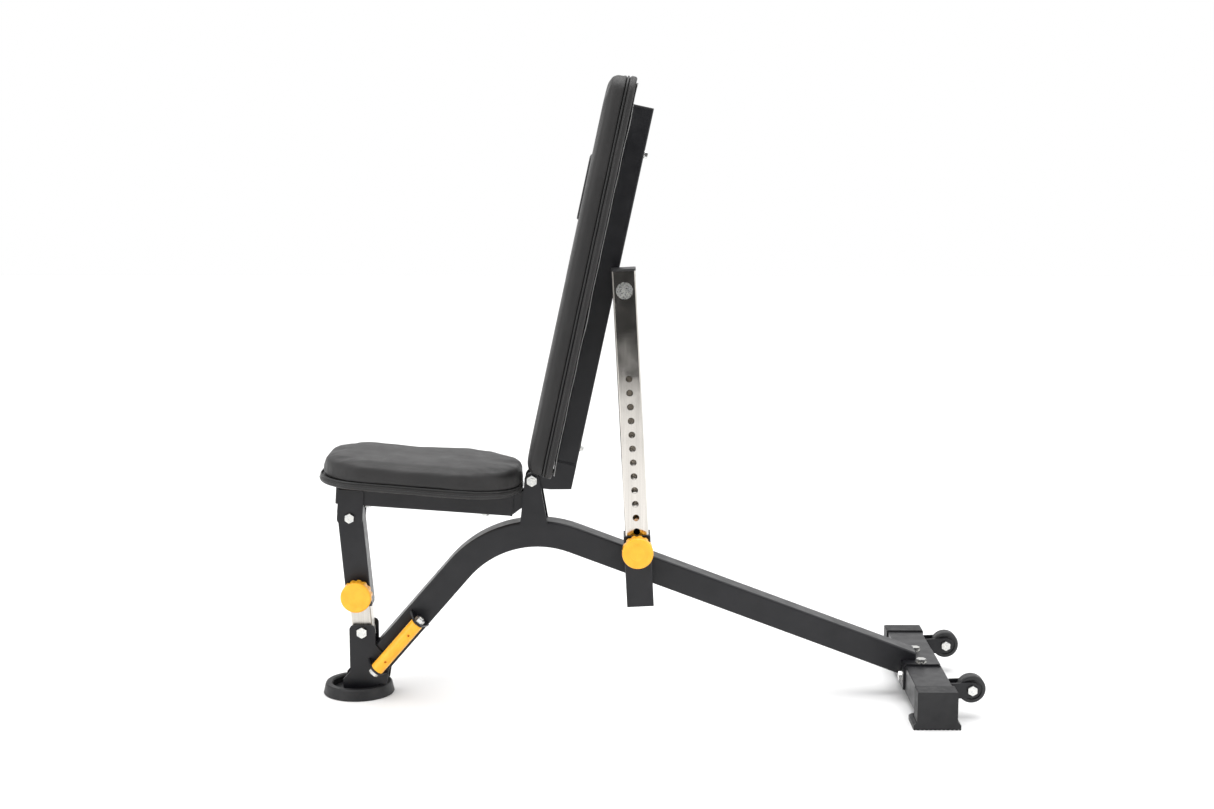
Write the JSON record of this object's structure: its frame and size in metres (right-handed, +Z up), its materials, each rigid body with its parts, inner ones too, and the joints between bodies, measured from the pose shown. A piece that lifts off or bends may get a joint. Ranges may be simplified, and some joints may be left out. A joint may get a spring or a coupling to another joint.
{
  "type": "adjustable weight bench",
  "caption": "Adjustable weight bench with tilting seat, reclining padded backrest on a pinned telescopic arm, bent black tube frame, carrying handle, transport wheels and rubber feet.",
  "frame": {"origin": "on the floor, under the middle of the bench's length and width", "axes": "+X from the front foot towards the rear foot, +Y away from the adjusting arm, +Z up"},
  "size_m": [1.286, 0.464, 1.2146],
  "materials": {
    "frame_paint": "satin",
    "black_rubber": "matte",
    "wheel_rubber": "satin",
    "zinc": "satin",
    "pin_steel": "polished",
    "arm_chrome": "polished",
    "post_silver": "satin",
    "yellow_plastic": "gloss",
    "black_plastic": "matte",
    "vinyl": "satin",
    "board_wood": "matte",
    "backing_cloth": "matte"
  },
  "bodies": {
    "frame": {"main_beam": "frame_paint", "front_bracket_plates": "frame_paint", "foot_disc": "frame_paint", "foot_ring": "black_rubber", "hinge_bracket_plates": "frame_paint", "hinge_bolt": "zinc", "leg_pivot_bolt": "zinc", "leg_pivot_spacers": "zinc", "handle_tabs": "frame_paint", "handle_bolt": "zinc", "handle_grip": "yellow_plastic", "rear_flange": "frame_paint", "cross_tube": "frame_paint", "flange_bolts": "zinc", "end_cap_near": "black_rubber", "end_cap_far": "black_rubber", "wheel_forks": "frame_paint", "wheel_bolts": "zinc", "frame_nuts": "zinc"},
    "backrest": {"back_rail": "frame_paint", "back_rail_caps": "black_plastic", "back_hinge_ears": "frame_paint", "arm_bracket": "frame_paint", "arm_bracket_stub": "zinc", "pad_crossbars": "frame_paint", "back_pad_bolts": "zinc", "back_board": "board_wood", "back_cover": "backing_cloth", "back_cushion": "vinyl", "back_patch": "vinyl"},
    "sleeve": {"sleeve_tube": "frame_paint", "sleeve_liner": "black_plastic", "sleeve_stud": "zinc", "sleeve_nut": "zinc", "back_pin_housing": "frame_paint", "back_pin_spring": "pin_steel"},
    "arm": {"arm_tube": "arm_chrome", "arm_caps": "black_plastic", "arm_bolt": "zinc", "arm_washer": "zinc", "arm_nut": "zinc"},
    "back_pull_pin": {"back_pin": "pin_steel", "back_knob": "yellow_plastic"},
    "seat": {"seat_rail": "frame_paint", "seat_rail_cap": "black_plastic", "seat_hinge_ears": "frame_paint", "seat_leg_ears": "frame_paint", "seat_leg_bolt": "zinc", "seat_pad_bolts": "zinc", "seat_board": "board_wood", "seat_cushion": "vinyl"},
    "leg_inner": {"leg_post": "post_silver"},
    "leg_outer": {"leg_outer_tube": "frame_paint", "leg_liner": "black_plastic", "leg_pin_housing": "frame_paint", "leg_pin_spring": "pin_steel"},
    "leg_pull_pin": {"leg_pin": "pin_steel", "leg_knob": "yellow_plastic"},
    "wheel_near_body": {"wheel_near": "wheel_rubber"},
    "wheel_far_body": {"wheel_far": "wheel_rubber"}
  },
  "joints": [
    {"name": "back_hinge", "type": "hinge", "parent": "frame", "child": "backrest", "pos_m": [-0.2245, 0, 0.4345], "axis": [0, 1, 0], "range_deg": [0, 77]},
    {"name": "sleeve_pivot", "type": "hinge", "parent": "frame", "child": "sleeve", "pos_m": [-0.0172, 0, 0.2656], "axis": [0, 1, 0], "range_deg": [-0.01, 71.3]},
    {"name": "arm_slide", "type": "slide", "parent": "sleeve", "child": "arm", "axis": [0.0519, 0, -0.9987], "range_m": [-0.0001, 0.33129]},
    {"name": "seat_hinge", "type": "hinge", "parent": "frame", "child": "seat", "pos_m": [-0.2245, 0, 0.4345], "axis": [0, 1, 0], "range_deg": [-4, 12]},
    {"name": "post_pivot", "type": "hinge", "parent": "frame", "child": "leg_inner", "pos_m": [-0.561, 0, 0.1295], "axis": [0, 1, 0], "range_deg": [-0.73, 0.25]},
    {"name": "leg_slide", "type": "slide", "parent": "leg_inner", "child": "leg_outer", "axis": [-0.0851, 0, 0.9964], "range_m": [-0.0254, 0.076]},
    {"name": "back_pin_pull", "type": "slide", "parent": "sleeve", "child": "back_pull_pin", "axis": [0, -1, 0], "range_m": [-0.0065, 0.002], "stiffness_N_per_m": 500, "springref_m": -0.0065, "deforming": ["back_pin_spring"]},
    {"name": "leg_pin_pull", "type": "slide", "parent": "leg_outer", "child": "leg_pull_pin", "axis": [0, -1, 0], "range_m": [-0.0065, 0.002], "stiffness_N_per_m": 500, "springref_m": -0.0065, "deforming": ["leg_pin_spring"]},
    {"name": "wheel_spin_near", "type": "hinge", "parent": "frame", "child": "wheel_near_body", "pos_m": [0.616, -0.15, 0.057], "axis": [0, 1, 0], "continuous": true},
    {"name": "wheel_spin_far", "type": "hinge", "parent": "frame", "child": "wheel_far_body", "pos_m": [0.616, 0.15, 0.057], "axis": [0, 1, 0], "continuous": true}
  ],
  "couplings": [
    {"joint": "sleeve_pivot", "follows": "back_hinge", "ratio": 0.92579},
    {"joint": "arm_slide", "follows": "back_hinge", "m_per_rad": 0.24644},
    {"joint": "post_pivot", "follows": "seat_hinge", "ratio": -0.06},
    {"joint": "leg_slide", "follows": "seat_hinge", "m_per_rad": 0.3624}
  ]
}
